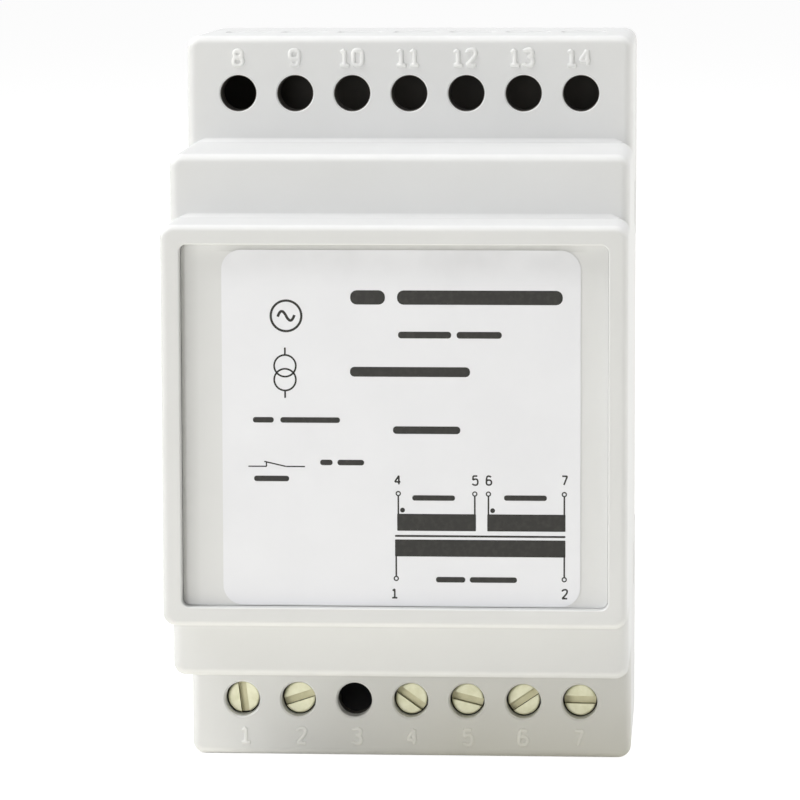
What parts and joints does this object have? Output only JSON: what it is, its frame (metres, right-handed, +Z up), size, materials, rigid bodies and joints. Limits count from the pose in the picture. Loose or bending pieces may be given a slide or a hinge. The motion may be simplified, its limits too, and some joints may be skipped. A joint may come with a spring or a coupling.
{
  "type": "din rail transformer",
  "caption": "Small rail-mounted transformer in a stepped grey housing with screw terminals, a recessed front panel, a sliding rail latch and a laminated core with a split coil inside.",
  "frame": {"origin": "middle of the face that seats on the rail", "axes": "+Z up as mounted, +X along the rail to the right of someone who faces the front, +Y into the rail; the front faces -Y"},
  "size_m": [0.0522, 0.058, 0.0856],
  "materials": {
    "housing": "light grey, fine satin texture",
    "label": "pale printed film",
    "insulator": "black moulded plastic",
    "latch": "light grey, satin",
    "screw": "steel, yellow passivated zinc",
    "clamp": "steel, bright zinc",
    "contact": "tinned brass strip",
    "core": "varnished silicon steel sheet",
    "bobbin": "natural nylon",
    "copper": "enamelled copper wire",
    "tape": "yellow polyester tape",
    "primary_lead": "red wire insulation",
    "secondary_lead": "blue wire insulation"
  },
  "bodies": {
    "housing": {"cover": "housing", "base": "housing", "front_panel": "housing", "label": "label", "terminal_block": "insulator", "core_e_laminations": "core", "core_i_laminations": "core", "bobbin": "bobbin", "primary_winding": "copper", "secondary_winding_a": "copper", "secondary_winding_b": "copper", "primary_tape": "tape", "secondary_tape": "tape", "thermal_cutout": "insulator", "contact_bar_1": "contact", "contact_bar_2": "contact", "contact_bar_4": "contact", "contact_bar_5": "contact", "contact_bar_6": "contact", "contact_bar_7": "contact", "lead_1": "primary_lead", "lead_2": "primary_lead", "lead_4": "secondary_lead", "lead_5": "secondary_lead", "lead_6": "secondary_lead", "lead_7": "secondary_lead"},
    "latch": {"rail_latch": "latch"},
    "screw_1": {"terminal_screw_1": "screw"},
    "cage_1": {"clamp_cage_1": "clamp"},
    "screw_2": {"terminal_screw_2": "screw"},
    "cage_2": {"clamp_cage_2": "clamp"},
    "screw_4": {"terminal_screw_4": "screw"},
    "cage_4": {"clamp_cage_4": "clamp"},
    "screw_5": {"terminal_screw_5": "screw"},
    "cage_5": {"clamp_cage_5": "clamp"},
    "screw_6": {"terminal_screw_6": "screw"},
    "cage_6": {"clamp_cage_6": "clamp"},
    "screw_7": {"terminal_screw_7": "screw"},
    "cage_7": {"clamp_cage_7": "clamp"}
  },
  "joints": [
    {"name": "latch_slide", "type": "slide", "parent": "housing", "child": "latch", "axis": [0, 0, -1], "range_m": [0, 0.004]},
    {"name": "screw_1_turn", "type": "hinge", "parent": "housing", "child": "screw_1", "pos_m": [-0.0201, -0.02, -0.03605], "axis": [0, 1, 0], "range_deg": [0, 1800]},
    {"name": "cage_1_rise", "type": "slide", "parent": "housing", "child": "cage_1", "axis": [0, -1, 0], "range_m": [0, 0.0025]},
    {"name": "screw_2_turn", "type": "hinge", "parent": "housing", "child": "screw_2", "pos_m": [-0.0134, -0.02, -0.03605], "axis": [0, 1, 0], "range_deg": [0, 1800]},
    {"name": "cage_2_rise", "type": "slide", "parent": "housing", "child": "cage_2", "axis": [0, -1, 0], "range_m": [0, 0.0025]},
    {"name": "screw_4_turn", "type": "hinge", "parent": "housing", "child": "screw_4", "pos_m": [0, -0.02, -0.03605], "axis": [0, 1, 0], "range_deg": [0, 1800]},
    {"name": "cage_4_rise", "type": "slide", "parent": "housing", "child": "cage_4", "axis": [0, -1, 0], "range_m": [0, 0.0025]},
    {"name": "screw_5_turn", "type": "hinge", "parent": "housing", "child": "screw_5", "pos_m": [0.0067, -0.02, -0.03605], "axis": [0, 1, 0], "range_deg": [0, 1800]},
    {"name": "cage_5_rise", "type": "slide", "parent": "housing", "child": "cage_5", "axis": [0, -1, 0], "range_m": [0, 0.0025]},
    {"name": "screw_6_turn", "type": "hinge", "parent": "housing", "child": "screw_6", "pos_m": [0.0134, -0.02, -0.03605], "axis": [0, 1, 0], "range_deg": [0, 1800]},
    {"name": "cage_6_rise", "type": "slide", "parent": "housing", "child": "cage_6", "axis": [0, -1, 0], "range_m": [0, 0.0025]},
    {"name": "screw_7_turn", "type": "hinge", "parent": "housing", "child": "screw_7", "pos_m": [0.0201, -0.02, -0.03605], "axis": [0, 1, 0], "range_deg": [0, 1800]},
    {"name": "cage_7_rise", "type": "slide", "parent": "housing", "child": "cage_7", "axis": [0, -1, 0], "range_m": [0, 0.0025]}
  ],
  "couplings": [
    {"joint": "screw_1_turn", "follows": "cage_1_rise", "rad_per_m": 12566},
    {"joint": "screw_2_turn", "follows": "cage_2_rise", "rad_per_m": 12566},
    {"joint": "screw_4_turn", "follows": "cage_4_rise", "rad_per_m": 12566},
    {"joint": "screw_5_turn", "follows": "cage_5_rise", "rad_per_m": 12566},
    {"joint": "screw_6_turn", "follows": "cage_6_rise", "rad_per_m": 12566},
    {"joint": "screw_7_turn", "follows": "cage_7_rise", "rad_per_m": 12566}
  ]
}
